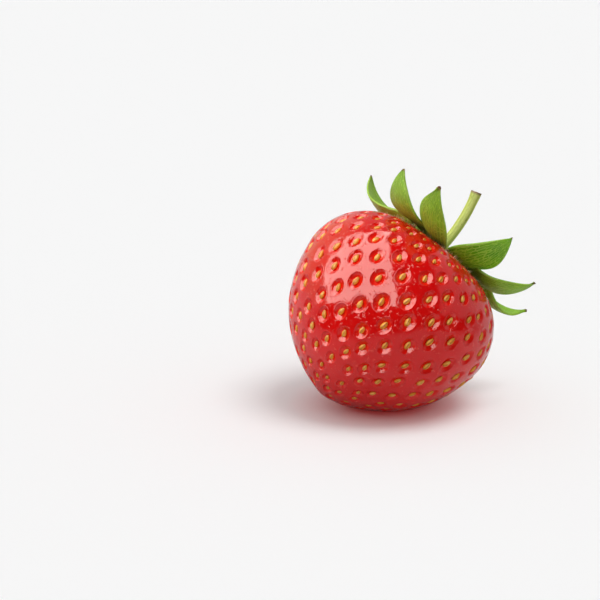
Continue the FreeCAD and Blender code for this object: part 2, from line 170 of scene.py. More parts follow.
table_mesh = bmesh.new()
bmesh.ops.create_grid(table_mesh, x_segments=2, y_segments=2, size=TABLE_REACH)
table_white, table_shader = new_material("table_white", TABLE_ROUGHNESS)
table_shader.inputs["Specular IOR Level"].default_value = 0.0
table_shader.inputs["Emission Strength"].default_value = 1.0
tree = table_white.node_tree
table_place = tree.nodes.new("ShaderNodeTexCoord")
ray_kind = tree.nodes.new("ShaderNodeLightPath")
reach = tree.nodes.new("ShaderNodeVectorMath")
reach.operation = "LENGTH"
tree.links.new(table_place.outputs["Object"], reach.inputs[0])
past_board = add_range(table_white, reach.outputs["Value"], *BOARD_EDGE)
table_axes = tree.nodes.new("ShaderNodeSeparateXYZ")
tree.links.new(table_place.outputs["Object"], table_axes.inputs["Vector"])
in_front = add_range(table_white, table_axes.outputs["Y"], *BOARD_BACK, 1.0, 0.0)
past_board = join_values(table_white, "MULTIPLY", past_board, in_front)
mirrored = join_values(table_white, "MULTIPLY", past_board, ray_kind.outputs["Is Glossy Ray"])
table_colour = add_mix(table_white, mirrored, TABLE_WHITE, BOARD_DARK)
tree.links.new(table_colour, table_shader.inputs["Base Color"])
# Painted shadow: near the fruit the table's camera-only glow drops from the fill to a dark red, a
# painted contact shadow with painted red light from the fruit.
past_painted_shadow = add_range(table_white, reach.outputs["Value"], *PAINTED_SHADOW_EDGE)
glow_and_painted_shadow = add_mix(table_white, past_painted_shadow, PAINTED_RED_SHADOW, TABLE_FILL)
glow_and_painted_shadow = add_mix(table_white, ray_kind.outputs["Is Camera Ray"], (0.0, 0.0, 0.0), glow_and_painted_shadow)
tree.links.new(glow_and_painted_shadow, table_shader.inputs["Emission Color"])
table = hand_mesh("table", table_mesh, table_white)

softbox_mesh = bmesh.new()
softbox_mesh.faces.new([softbox_mesh.verts.new(corner) for corner in SOFTBOX_CORNERS])
softbox_cloth, softbox_shader = new_material("softbox_cloth", 1.0)
softbox_shader.inputs["Base Color"].default_value = (0, 0, 0, 1)
softbox_shader.inputs["Emission Color"].default_value = SOFTBOX_WARMTH
softbox_shader.inputs["Emission Strength"].default_value = SOFTBOX_GLOW
softbox = hand_mesh("softbox", softbox_mesh, softbox_cloth)
for ray in ("camera", "diffuse", "transmission", "shadow"):
    setattr(softbox, f"visible_{ray}", False)


def add_light(name, table_link, place, spread, power):
    """A wide soft light from far away that nothing mirrors, and that has the table in or out."""
    light = link_object(name, bpy.data.lights.new(name, "SUN"))
    light.data.angle = math.radians(spread)
    light.data.energy = power
    light.rotation_euler = (-Vector(place)).to_track_quat("-Z", "Y").to_euler()
    light.visible_glossy = False
    lit = bpy.data.collections.new(name)
    lit.objects.link(table)
    lit.collection_objects[0].light_linking.link_state = table_link
    light.light_linking.receiver_collection = lit


add_light("key_light", "EXCLUDE", *KEY_LIGHT)
add_light("table_light", "INCLUDE", *TABLE_LIGHT)

room = bpy.data.worlds.new("room")
room.use_nodes = True
bpy.context.scene.world = room
nodes = room.node_tree.nodes
links = room.node_tree.links
heading = nodes.new("ShaderNodeTexCoord")


def add_room_side(side, edge, strengths=(0.0, 1.0)):
    """The room's strength towards one side: it changes between two shares of that direction."""
    share = nodes.new("ShaderNodeVectorMath")
    share.operation = "DOT_PRODUCT"
    share.inputs[1].default_value = side
    links.new(heading.outputs["Generated"], share.inputs[0])
    return add_range(room, share.outputs["Value"], *edge, *strengths)


def add_room_mix(kind, others, these):
    """The room's strength for one kind of ray and for all others."""
    mix = nodes.new("ShaderNodeMix")
    links.new(room_ray.outputs[kind], mix.inputs["Factor"])
    links.new(others, mix.inputs["A"])
    if isinstance(these, float):
        mix.inputs["B"].default_value = these
    else:
        links.new(these, mix.inputs["B"])
    return mix.outputs["Result"]


mirrored = add_room_side(*REFLECTORS[0])
for reflector in REFLECTORS[1:]:
    mirrored = join_values(room, "MAXIMUM", mirrored, add_room_side(*reflector))
room_ray = nodes.new("ShaderNodeLightPath")
strength = add_room_mix("Is Glossy Ray", add_room_side(*OVERHEAD), mirrored)
strength = add_room_mix("Is Camera Ray", strength, TABLE_SEEN)
from_left = add_room_side(*WARM_SIDE)
warmth = join_values(room, "MULTIPLY", from_left, room_ray.outputs["Is Glossy Ray"])
room_colour = add_mix(room, warmth, (1.0, 1.0, 1.0), WARM_WHITE)
links.new(room_colour, nodes["Background"].inputs["Color"])
links.new(strength, nodes["Background"].inputs["Strength"])


# ---------------------------------------------------------------------------------------------
# The flesh: one swollen body, turned round the line of the stalk. Its skin is thin, taut and wet,
# and swells up between the seeds, so that each one lies in a pit. It rests on a flattened spot.
# ---------------------------------------------------------------------------------------------
FRUIT_RADIUS = 0.0139
FRUIT_LENGTH = 0.0234
TIP_RADIUS = 0.004
TIP_TURN = math.radians(78)
FLANK_PULL = 0.0069
FLANK_ARC = 1.06
SHOULDER_RADIUS = 0.0089
SHOULDER_DROP = 0.0083
SHOULDER_START = math.radians(8.2)
SHOULDER_TURN = math.radians(102)
HOLLOW_RADIUS = 0.0022
HOLLOW_DEPTH = 0.0005
CAP_HEIGHT = 0.00115
STALK_TILT = math.radians(44)
STALK_HEADING = math.radians(24)
SKIN_STEP = 0.00023
SKIN_TURNS = 366
HOLLOW_STEPS = 10
MERGE_GAP = 1e-6
SEEDS_A_TURN = 20.5
SEED_PITCH = 0.00213
SEED_PITCH_GIRTH = 0.0156
SEED_START = math.radians(14.5)
SEED_LIFT = 0.44
SEED_RADII = (0.0076, 0.0058)
SEED_JITTER = 0.00016
TIP_SEED_PATCH = 4.2e-6
TIP_GAP = 0.0009
FULL_PATCH = 9.1e-6
GOLDEN_TURN = math.radians(137.508)
PIT_LONG = 0.00118
PIT_WIDE = 0.00093
PIT_BOWL = 3.0
PIT_DEPTH = 0.00048
PIT_FINE = (0.62, 1.10)
SWELL_SIZE = 0.007
SWELL_HEIGHT = 0.00022


def stalk_frame():
    """Fruit frame to row frame: the middle of the calyx, with Z along the stalk."""
    turn = Matrix.Rotation(STALK_HEADING, 4, "Z") @ Matrix.Rotation(STALK_TILT, 4, "Y")
    cap_middle = sum(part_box("calyx_cap"), Vector()) / 2
    calyx = cap_middle - turn @ Vector((0, 0, CAP_HEIGHT / 2 - HOLLOW_DEPTH))
    return Matrix.Translation(calyx) @ turn


def round_point(centre, radius, turn, pull=0.0):
    """The point of a circle in the XZ plane at an angle, moved along its tangent by a pull."""
    along = Vector((-math.sin(turn), 0, math.cos(turn)))
    return centre + radius * Vector((math.cos(turn), 0, math.sin(turn))) + pull * along


def round_line(centre, radius, start, end):
    """Points along an arc, one for each step of skin, without the last."""
    count = max(2, round(radius * abs(end - start) / SKIN_STEP))
    return [round_point(centre, radius, start + (end - start) * i / count) for i in range(count)]


def fruit_outline():
    """Half outline of the fruit, from the tip over the flank and shoulder to the brim."""
    tip = Vector((0, 0, TIP_RADIUS - FRUIT_LENGTH))
    shoulder = Vector((FRUIT_RADIUS - SHOULDER_RADIUS, 0, -SHOULDER_DROP))
    flank = (
        round_point(tip, TIP_RADIUS, -TIP_TURN),
        round_point(tip, TIP_RADIUS, -TIP_TURN, FLANK_PULL),
        round_point(shoulder, SHOULDER_RADIUS, -SHOULDER_START, -FLANK_PULL),
        round_point(shoulder, SHOULDER_RADIUS, -SHOULDER_START),
    )
    flank_points = round(FLANK_ARC * (flank[3] - flank[0]).length / SKIN_STEP)
    line = round_line(tip, TIP_RADIUS, -math.pi / 2, -TIP_TURN)
    line += interpolate_bezier(*flank, flank_points)[:-1]
    line += round_line(shoulder, SHOULDER_RADIUS, -SHOULDER_START, SHOULDER_TURN)
    line.append(round_point(shoulder, SHOULDER_RADIUS, SHOULDER_TURN))
    return line


def soft_step(low, high, value):
    share = min(max((value - low) / (high - low), 0.0), 1.0)
    return share * share * (3 - 2 * share)


def seed_site(low, high, share, turn, scale):
    """One seed's place on the skin, with the skin's outward and stalkward directions there."""
    step = (high - low).normalized()
    spin = Matrix.Rotation(turn, 3, "Z")
    return spin @ low.lerp(high, share), spin @ Vector((step.z, 0, -step.x)), spin @ step, scale


def helix_sites(outline):
    """Seeds up the flank: one helix, so close that each seed stands between two of the turn below.

    It climbs evenly up to the widest place, and then slower and slower as the shoulder narrows.
    """
    widest = max(range(len(outline)), key=lambda i: outline[i].x)
    turns = [0.0]
    pitches = []
    for index, (low, high) in enumerate(zip(outline, outline[1:])):
        pitches.append(SEED_PITCH * (low.x / SEED_PITCH_GIRTH if index >= widest else 1))
        turns.append(turns[-1] + (high - low).length / pitches[-1])
    sites = []
    row = 0
    first = math.ceil(-(turns[widest] + SEED_LIFT) * SEEDS_A_TURN)
    while True:
        wound = turns[widest] + SEED_LIFT + (first + len(sites)) / SEEDS_A_TURN
        while row < len(pitches) and turns[row + 1] < wound:
            row += 1
        if row >= len(pitches) or (row > widest and outline[row].x < SEED_RADII[1]):
            return [site for site in sites if site]
        share = (wound - turns[row]) / (turns[row + 1] - turns[row])
        turn = SEED_START - (first + len(sites)) * 2 * math.pi / SEEDS_A_TURN
        patch = pitches[row] * 2 * math.pi * outline[row].x / SEEDS_A_TURN
        scale = math.sqrt(patch / FULL_PATCH)
        site = seed_site(outline[row], outline[row + 1], share, turn, scale)
        sites.append(site if row > widest or outline[row].x > SEED_RADII[0] else None)


def tip_sites(outline):
    """Seeds over the tip, a golden turn apart, each with an equal share of the skin."""
    sites = []
    covered = 0.0
    scale = math.sqrt(TIP_SEED_PATCH / FULL_PATCH)
    for low, high in zip(outline, outline[1:]):
        strip = math.pi * (low.x + high.x) * (high - low).length
        while covered + strip > (len(sites) + 1) * TIP_SEED_PATCH:
            share = ((len(sites) + 1) * TIP_SEED_PATCH - covered) / strip
            sites.append(seed_site(low, high, share, len(sites) * GOLDEN_TURN, scale))
        covered += strip
        if high.x > SEED_RADII[0] - TIP_GAP:
            return sites


to_row = stalk_frame()
outline = fruit_outline()
random.seed(11)
sites = []
for point, normal, stalkward, scale in tip_sites(outline) + helix_sites(outline):
    aside = stalkward.cross(normal)
    stray = SEED_JITTER * scale
    point += stalkward * random.gauss(0, stray) + aside * random.gauss(0, stray)
    sites.append((point, normal, stalkward, scale))

flesh_mesh = bmesh.new()
hollow_edge = Vector((HOLLOW_RADIUS, 0, -HOLLOW_DEPTH))
rail = list(outline)
for number in range(1, HOLLOW_STEPS + 1):
    rail.append(outline[-1].lerp(hollow_edge, number / HOLLOW_STEPS))
rail.append(Vector((0, 0, -HOLLOW_DEPTH)))
dots = [flesh_mesh.verts.new(point) for point in rail]
lines = [flesh_mesh.edges.new(pair) for pair in zip(dots, dots[1:])]
bmesh.ops.spin(
    flesh_mesh,
    geom=dots + lines,
    cent=(0, 0, 0),
    axis=(0, 0, 1),
    angle=2 * math.pi,
    steps=SKIN_TURNS,
    use_merge=True,
)
bmesh.ops.remove_doubles(flesh_mesh, verts=flesh_mesh.verts, dist=MERGE_GAP)
bmesh.ops.recalc_face_normals(flesh_mesh, faces=flesh_mesh.faces)

pit_tree = KDTree(len(sites))
for index, site in enumerate(sites):
    pit_tree.insert(site[0], index)
pit_tree.balance()


def from_pit(place):
    """How far a place on the skin is from the middle of its nearest pit, 1 at the pit's lip."""
    point, normal, stalkward, scale = sites[pit_tree.find(place)[1]]
    offset = place - point
    across = offset.dot(normal.cross(stalkward)) / PIT_WIDE
    along = offset.dot(stalkward) / PIT_LONG
    return math.hypot(along, across) / scale, scale


fine = {vertex for vertex in flesh_mesh.verts if PIT_FINE[0] < from_pit(vertex.co)[0] < PIT_FINE[1]}
wall_edges = [edge for edge in flesh_mesh.edges if edge.verts[0] in fine and edge.verts[1] in fine]
bmesh.ops.subdivide_edges(flesh_mesh, edges=wall_edges, cuts=1, use_grid_fill=True)
flesh_mesh.normal_update()
pit_layer = flesh_mesh.verts.layers.float.new("pit")
away_layer = flesh_mesh.verts.layers.float.new("away")
height_layer = flesh_mesh.verts.layers.float.new("height")
for vertex in flesh_mesh.verts:
    away, scale = from_pit(vertex.co)
    pit = max(0.0, 1 - away**PIT_BOWL)
    vertex[pit_layer] = pit
    vertex[away_layer] = away
    vertex[height_layer] = vertex.co.z / FRUIT_LENGTH + 1
    swell = SWELL_HEIGHT * noise.noise(vertex.co / SWELL_SIZE)
    vertex.co += vertex.normal * (swell - pit * PIT_DEPTH * scale)
bmesh.ops.transform(flesh_mesh, matrix=to_row, verts=flesh_mesh.verts)
for vertex in flesh_mesh.verts:
    vertex.co.z = max(vertex.co.z, 0.0)


def add_piece(name, mesh, material, replaced=()):
    """Hands over a finished piece of the fruit, hangs it from the root and hides the parts it
    replaces.
    """
    piece = hand_mesh(name, mesh, material)
    piece.data.shade_smooth()
    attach(piece, "root")
    if replaced:
        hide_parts(*replaced)
    return piece


def read_layer(material, name):
    """A node that reads one of the mesh's own layers."""
    reader = material.node_tree.nodes.new("ShaderNodeAttribute")
    reader.attribute_name = name
    return reader.outputs["Fac"]


def make_mottle():
    """The patchy unevenness that every skin, husk and leaf has, as one node group."""
    group = bpy.data.node_groups.new("mottle", "ShaderNodeTree")
    group.interface.new_socket("Place", in_out="INPUT", socket_type="NodeSocketVector")
    for name in ("Scale", "Detail", "Low", "High"):
        group.interface.new_socket(name, in_out="INPUT", socket_type="NodeSocketFloat")
    group.interface.new_socket("Share", in_out="OUTPUT", socket_type="NodeSocketFloat")
    given = group.nodes.new("NodeGroupInput").outputs
    waves = group.nodes.new("ShaderNodeTexNoise")
    stretch = group.nodes.new("ShaderNodeMapRange")
    made = group.nodes.new("NodeGroupOutput").inputs
    group.links.new(given["Place"], waves.inputs["Vector"])
    group.links.new(given["Scale"], waves.inputs["Scale"])
    group.links.new(given["Detail"], waves.inputs["Detail"])
    group.links.new(waves.outputs["Fac"], stretch.inputs["Value"])
    group.links.new(given["Low"], stretch.inputs["From Min"])
    group.links.new(given["High"], stretch.inputs["From Max"])
    group.links.new(stretch.outputs["Result"], made["Share"])
    return group


mottle = make_mottle()


def add_mottle(material, scale, detail, low=0.0, high=1.0):
    """The mottle in the fruit's own coordinates, so many waves to the metre, between two limits."""
    tree = material.node_tree
    place = tree.nodes.new("ShaderNodeTexCoord")
    patches = tree.nodes.new("ShaderNodeGroup")
    patches.node_tree = mottle
    for name, value in (("Scale", scale), ("Detail", detail), ("Low", low), ("High", high)):
        patches.inputs[name].default_value = value
    tree.links.new(place.outputs["Object"], patches.inputs["Place"])
    return patches.outputs["Share"]


def add_bump(material, shader, height, distance):
    """Raises the surface by a height, so many metres for each unit of it."""
    tree = material.node_tree
    bump = tree.nodes.new("ShaderNodeBump")
    bump.inputs["Distance"].default_value = distance
    tree.links.new(height, bump.inputs["Height"])
    tree.links.new(bump.outputs["Normal"], shader.inputs["Normal"])


FLESH_ROUGHNESS = 0.07
FLESH_IOR = 1.45
FLESH_DEPTH = 0.0008
FLESH_DEPTHS = (1.0, 0.15, 0.1)
FLESH_DEPTH_SHARE = 0.12
FLESH_RED = (0.62, 0.0025, 0.0025)
FLESH_LIGHT = (0.68, 0.003, 0.002)
# Lighter flesh in the pits: partly its own orange-red, partly painted light against the shade in the
# pits.
FLESH_PIT_AND_PAINTED_LIGHT = (0.84, 0.016, 0.005)
FLESH_PALE = (0.76, 0.16, 0.05)
# Painted glints: the raised specks are also painted lighter, like the glints off them.
FLESH_PAINTED_GLINT = (0.85, 0.07, 0.04)
LIP_RISE = (1.0, 1.07)
LIP_FALL = (1.07, 1.17)
LIP_HEIGHT = 0.000028
PALE_HEIGHT = (0.99, 1.03)
FLESH_BLOTCHES = (180, 3, 0.35, 0.7)
SPECKS = (2700, 1, 0.62, 0.72)
PAINTED_GLINT_SHARE = 0.5
SPECK_HEIGHT = 0.00004
RIPPLES = (1500, 1)
RIPPLE_HEIGHT = 0.000008
GRAIN = (5200, 2)
GRAIN_HEIGHT = 0.000004

flesh_skin, flesh_shader = new_material("flesh_skin", FLESH_ROUGHNESS)
flesh_shader.inputs["IOR"].default_value = FLESH_IOR
flesh_shader.inputs["Subsurface Weight"].default_value = FLESH_DEPTH_SHARE
flesh_shader.inputs["Subsurface Radius"].default_value = FLESH_DEPTHS
flesh_shader.inputs["Subsurface Scale"].default_value = FLESH_DEPTH
blotches = add_mottle(flesh_skin, *FLESH_BLOTCHES)
flesh_colour = add_mix(flesh_skin, blotches, FLESH_RED, FLESH_LIGHT)
near_stalk = add_range(flesh_skin, read_layer(flesh_skin, "height"), *PALE_HEIGHT)
flesh_colour = add_mix(flesh_skin, near_stalk, flesh_colour, FLESH_PALE)
# Pits painted lighter: partly the flesh's own colour there, partly painted light against their
# shade.
flesh_colour = add_mix(flesh_skin, read_layer(flesh_skin, "pit"), flesh_colour, FLESH_PIT_AND_PAINTED_LIGHT)
specks = add_mottle(flesh_skin, *SPECKS)
# Painted glints: the same specks that are raised below are painted a lighter colour here.
painted_glint_share = join_values(flesh_skin, "MULTIPLY", specks, PAINTED_GLINT_SHARE)
flesh_colour = add_mix(flesh_skin, painted_glint_share, flesh_colour, FLESH_PAINTED_GLINT)
flesh_skin.node_tree.links.new(flesh_colour, flesh_shader.inputs["Base Color"])
away = read_layer(flesh_skin, "away")
lip_inside = add_range(flesh_skin, away, *LIP_RISE)
lip_outside = add_range(flesh_skin, away, *LIP_FALL, LIP_HEIGHT, 0.0)
relief = join_values(flesh_skin, "MULTIPLY", lip_inside, lip_outside)
specks = join_values(flesh_skin, "MULTIPLY", specks, SPECK_HEIGHT)
relief = join_values(flesh_skin, "ADD", relief, specks)
grain = join_values(flesh_skin, "MULTIPLY", add_mottle(flesh_skin, *GRAIN), GRAIN_HEIGHT)
relief = join_values(flesh_skin, "ADD", relief, grain)
ripples = join_values(flesh_skin, "MULTIPLY", add_mottle(flesh_skin, *RIPPLES), RIPPLE_HEIGHT)
relief = join_values(flesh_skin, "ADD", relief, ripples)
add_bump(flesh_skin, flesh_shader, relief, 1.0)
add_piece("flesh", flesh_mesh, flesh_skin, ["fruit"])


# ---------------------------------------------------------------------------------------------
# The seeds: small dry nutlets, each lying in its pit with its narrow end towards the stalk. They
# are straw yellow, browner along the middle, and keep a dull shine.
# ---------------------------------------------------------------------------------------------
SEED_LENGTH = 0.00122
SEED_WIDTH = 0.00072
SEED_HEIGHT = 0.00052
SEED_SINK = 0.00028
SEED_SWAY = 0.20
SEED_TAPER = 0.26
SEED_TAPER_SPAN = (-0.1, 0.5)
SEED_GROWTH = (0.92, 1.08)
SEED_SIDES = 8
SEED_RINGS = 6
SEED_ROUGHNESS = 0.4
SEED_SHINE = 0.25
SEED_STRAW = (0.74, 0.33, 0.025)
SEED_OLIVE = (0.42, 0.13, 0.010)
SEED_FLECK = (0.84, 0.52, 0.12)
SEED_MIDDLE = (0.5, 0.1)
SEED_FLECKS = (1800, 3, 0.5, 0.75)
SEED_GRAIN = (5000, 2)
SEED_GRAIN_HEIGHT = 0.00001

seed_mesh = bmesh.new()
rib_layer = seed_mesh.verts.layers.float.new("rib")
for point, normal, stalkward, scale in sites:
    made = bmesh.ops.create_uvsphere(
        seed_mesh,
        u_segments=SEED_SIDES,
        v_segments=SEED_RINGS,
        radius=0.5,
    )
    for vertex in made["verts"]:
        vertex[rib_layer] = abs(vertex.co.x) * 2
        slim = 1 - SEED_TAPER * soft_step(*SEED_TAPER_SPAN, vertex.co.z)
        vertex.co.x *= slim
        vertex.co.y *= slim
    grow = scale * random.uniform(*SEED_GROWTH)
    size = Matrix.Diagonal((SEED_WIDTH * grow, SEED_HEIGHT * grow, SEED_LENGTH * grow, 1))
    stand = Matrix((stalkward.cross(normal), normal, stalkward)).transposed().to_4x4()
    sway = Matrix.Rotation(random.gauss(0, SEED_SWAY), 4, "Y")
    base = Matrix.Translation(point - normal * SEED_SINK * scale)
    bmesh.ops.transform(seed_mesh, matrix=to_row @ base @ stand @ sway @ size, verts=made["verts"])
for vertex in seed_mesh.verts:
    vertex.co.z = max(vertex.co.z, 0.0)
bmesh.ops.recalc_face_normals(seed_mesh, faces=seed_mesh.faces)

seed_husk, seed_shader = new_material("seed_husk", SEED_ROUGHNESS)
seed_shader.inputs["Specular IOR Level"].default_value = SEED_SHINE
middle = add_range(seed_husk, read_layer(seed_husk, "rib"), *SEED_MIDDLE)
flecks = add_mottle(seed_husk, *SEED_FLECKS)
seed_colour = add_mix(seed_husk, middle, SEED_STRAW, SEED_OLIVE)
seed_colour = add_mix(seed_husk, flecks, seed_colour, SEED_FLECK)
seed_husk.node_tree.links.new(seed_colour, seed_shader.inputs["Base Color"])
add_bump(seed_husk, seed_shader, add_mottle(seed_husk, *SEED_GRAIN), SEED_GRAIN_HEIGHT)
add_piece("seeds", seed_mesh, seed_husk)


# ---------------------------------------------------------------------------------------------
# The sepals: nine thin pointed leaves that stand round the cap, hug the shoulder and curl away.
# Each is a soft dish with raised veins from its foot to its point. They overlap at their feet.
# ---------------------------------------------------------------------------------------------
SEPAL_FOOT = 0.00175
SEPAL_LEAD = math.radians(21)
SEPAL_BASE_SHARE = 0.24
SEPAL_THICKNESS = 0.00024
SEPAL_STEPS = (64, 28)
SEPAL_VEINS = 9
VEIN_HEIGHT = 0.00004
SEPAL_RUFFLE = 0.00012
RUFFLE_WAVES = (9, 3, 2)
CUP_LIMIT = 0.98
# in degrees and millimetres: azimuth, rise, roll, lift, width, hugging arc, its turn, curling arc,
# its turn and cupping arc, and then paleness
SEPALS = (
    (-82, 40, 0, 0.12, 5.6, 8.9, 15, 6.8, 79, 3.8, 0.0),
    (-40, 40, -7, 0.5, 5.6, 8.9, 30, 5.5, 84, 4.7, 0.3),
    (-2, 5, 12, 0.12, 5.8, 10.4, 38, 6.3, 75, 3.8, 0.5),
    (38, 10, 0, 0.5, 4.6, 9.5, 40, 9.0, 42, 6.0, 0.4),
    (70, 5, 0, 0.12, 4.6, 9.1, 48, 9.0, 36, 6.0, 0.3),
    (101, 12, 5, 0.55, 4.4, 9.4, 44, 7.0, 55, 6.0, 0.6),
    (129, 16, -13, 0.12, 6.9, 9.1, 36, 6.2, 78, 3.5, 1.0),
    (188, 40, 0, 0.55, 5.6, 8.9, 31, 5.7, 81, 8.6, 0.55),
    (222, 12, -7, 0.12, 5.1, 9.1, 25, 13.9, 48, 3.7, 0.5),
)
MILLIMETRE = 0.001


def rib_line(rise, hug, hug_turn, curl, curl_turn, steps):
    """Points of a leaf's middle line: an arc that hugs the shoulder, then one that curls away."""
    start = rise - SEPAL_LEAD
    joint = start + hug_turn
    hug_centre = Vector((-math.sin(start), 0, -math.cos(start))) * hug
    curl_centre = hug_centre + Vector((math.sin(joint), 0, math.cos(joint))) * (hug + curl)
    hug_length = hug * hug_turn
    length = hug_length + curl * curl_turn
    line = []
    for i in range(steps + 1):
        way = length * i / steps
        if way < hug_length:
            turn = start + way / hug
            line.append(hug_centre + Vector((math.sin(turn), 0, math.cos(turn))) * hug)
        else:
            turn = joint - (way - hug_length) / curl
            line.append(curl_centre - Vector((math.sin(turn), 0, math.cos(turn))) * curl)
    return line


def sepal_mesh(number, row):
    """One leaf: a grid laid along its middle line, dished across it and narrowed to a point."""
    azimuth, rise, roll = (math.radians(angle) for angle in row[:3])
    lift, width, hug, curl, cup = (row[i] * MILLIMETRE for i in (3, 4, 5, 7, 9))
    hug_turn, curl_turn = math.radians(row[6]), math.radians(row[8])
    along_steps, across_steps = SEPAL_STEPS
    line = rib_line(rise, hug, hug_turn, curl, curl_turn, along_steps)
    reach = line[-1].x
    half_foot = SEPAL_BASE_SHARE * width / 2
    mesh = bmesh.new()
    bmesh.ops.create_grid(mesh, x_segments=along_steps, y_segments=across_steps, size=1)
    leaf_map = mesh.loops.layers.uv.new("UVMap")
    for face in mesh.faces:
        for loop in face.loops:
            loop[leaf_map].uv = ((loop.vert.co.x + 1) / 2, (loop.vert.co.y + 1) / 2)
    pale_layer = mesh.verts.layers.float.new("pale")
    for vertex in mesh.verts:
        spot = line[round((vertex.co.x + 1) / 2 * along_steps)]
        share = spot.x / reach
        side = vertex.co.y
        half = half_foot * (1 - share) + 4 * share * (1 - share) * (width - half_foot) / 2
        vein = abs(math.cos(side * SEPAL_VEINS * math.pi / 2))
        wave = RUFFLE_WAVES[0] * share + RUFFLE_WAVES[1] * side + RUFFLE_WAVES[2] * number
        ruffle = SEPAL_RUFFLE * side * side * math.sin(wave)
        lower = VEIN_HEIGHT * (1 - share) * vein**3
        depth = cup - spot.z
        swing = math.asin(max(-CUP_LIMIT, min(CUP_LIMIT, side * half / depth)))
        vertex[pale_layer] = row[10]
        vertex.co = (spot.x, side * half, cup - depth * math.cos(swing) + ruffle - lower)
    bmesh.ops.remove_doubles(mesh, verts=mesh.verts, dist=MERGE_GAP)
    place = Matrix.Rotation(azimuth, 4, "Z") @ Matrix.Translation((SEPAL_FOOT, 0, lift))
    place = to_row @ place @ Matrix.Rotation(-rise, 4, "Y") @ Matrix.Rotation(roll, 4, "X")
    bmesh.ops.transform(mesh, matrix=place, verts=mesh.verts)
    return mesh


SEPAL_ROUGHNESS = 0.42
SEPAL_SHINE = 0.18
SEPAL_DEPTH = 0.0004
SEPAL_DEPTHS = (0.4, 1.0, 0.15)
SEPAL_DEPTH_SHARE = 0.1
SEPAL_GREEN = (0.175, 0.47, 0.004)
SEPAL_DEEP = (0.090, 0.32, 0.002)
SEPAL_PALE = (0.33, 0.50, 0.055)
SEPAL_VEIN = (0.46, 0.70, 0.07)
SEPAL_BROWN = (0.20, 0.08, 0.03)
SEPAL_BLOTCHES = (320, 4, 0.35, 0.65)
SEPAL_PALE_SHARE = 0.65
SEPAL_RIM = (0.85, 0.99)
SEPAL_RIM_SHARE = 0.6
SEPAL_TIP = (0.975, 1.0)
NET_CELLS = (12, 14, 1)
NET_LINE = (0.0, 0.08)
NET_SHARE = 0.9
RIB_BANDS = 1.35
RIB_BEND = 0.7
RIB_DETAIL = 2.0
RIB_LINE = (0.86, 1.0)
# bands in a unit of a wave texture at scale 1, which has 20 radians
VEIN_WAVES = 20 / (2 * math.pi)
VEIN_SHARE = 0.8
VEIN_RELIEF = 0.00003

sepal_leaf, sepal_shader = new_material("sepal_leaf", SEPAL_ROUGHNESS)
sepal_shader.inputs["Specular IOR Level"].default_value = SEPAL_SHINE
sepal_shader.inputs["Subsurface Weight"].default_value = SEPAL_DEPTH_SHARE
sepal_shader.inputs["Subsurface Radius"].default_value = SEPAL_DEPTHS
sepal_shader.inputs["Subsurface Scale"].default_value = SEPAL_DEPTH
tree = sepal_leaf.node_tree
leaf_place = tree.nodes.new("ShaderNodeUVMap")
leaf_place.uv_map = "UVMap"
leaf_axes = tree.nodes.new("ShaderNodeSeparateXYZ")
tree.links.new(leaf_place.outputs["UV"], leaf_axes.inputs["Vector"])
stretch = tree.nodes.new("ShaderNodeMapping")
stretch.inputs["Scale"].default_value = NET_CELLS
tree.links.new(leaf_place.outputs["UV"], stretch.inputs["Vector"])
net = tree.nodes.new("ShaderNodeTexVoronoi")
net.feature = "DISTANCE_TO_EDGE"
net.inputs["Scale"].default_value = 1.0
tree.links.new(stretch.outputs["Vector"], net.inputs["Vector"])
net_lines = add_range(sepal_leaf, net.outputs["Distance"], *NET_LINE, NET_SHARE, 0.0)
blotches = add_mottle(sepal_leaf, *SEPAL_BLOTCHES)
leaf_colour = add_mix(sepal_leaf, blotches, SEPAL_DEEP, SEPAL_GREEN)
paleness = join_values(sepal_leaf, "MULTIPLY", read_layer(sepal_leaf, "pale"), SEPAL_PALE_SHARE)
leaf_colour = add_mix(sepal_leaf, paleness, leaf_colour, SEPAL_PALE)
ribs = tree.nodes.new("ShaderNodeTexWave")
ribs.bands_direction = "Y"
ribs.inputs["Scale"].default_value = RIB_BANDS * SEPAL_VEINS / VEIN_WAVES
ribs.inputs["Distortion"].default_value = RIB_BEND
ribs.inputs["Detail"].default_value = RIB_DETAIL
tree.links.new(leaf_place.outputs["UV"], ribs.inputs["Vector"])
rib_lines = add_range(sepal_leaf, ribs.outputs["Fac"], *RIB_LINE)
vein_lines = join_values(sepal_leaf, "MAXIMUM", net_lines, rib_lines)
vein_share = join_values(sepal_leaf, "MULTIPLY", vein_lines, VEIN_SHARE)
leaf_colour = add_mix(sepal_leaf, vein_share, leaf_colour, SEPAL_VEIN)
from_rib = join_values(sepal_leaf, "SUBTRACT", leaf_axes.outputs["Y"], 0.5)
from_rib = join_values(sepal_leaf, "ABSOLUTE", from_rib, 0.0)
rim_edge = [share / 2 for share in SEPAL_RIM]
rim_share = add_range(sepal_leaf, from_rib, *rim_edge, 0.0, SEPAL_RIM_SHARE)
leaf_colour = add_mix(sepal_leaf, rim_share, leaf_colour, SEPAL_PALE)
tip_share = add_range(sepal_leaf, leaf_axes.outputs["X"], *SEPAL_TIP)
leaf_colour = add_mix(sepal_leaf, tip_share, leaf_colour, SEPAL_BROWN)
tree.links.new(leaf_colour, sepal_shader.inputs["Base Color"])
add_bump(sepal_leaf, sepal_shader, vein_lines, VEIN_RELIEF)
for number, row in enumerate(SEPALS, 1):
    name = f"sepal_{number}"
    sepal = add_piece(f"{name}_leaf", sepal_mesh(number, row), sepal_leaf, [name])
    wall = sepal.modifiers.new("wall", "SOLIDIFY")
    wall.thickness = SEPAL_THICKNESS
    wall.offset = 1


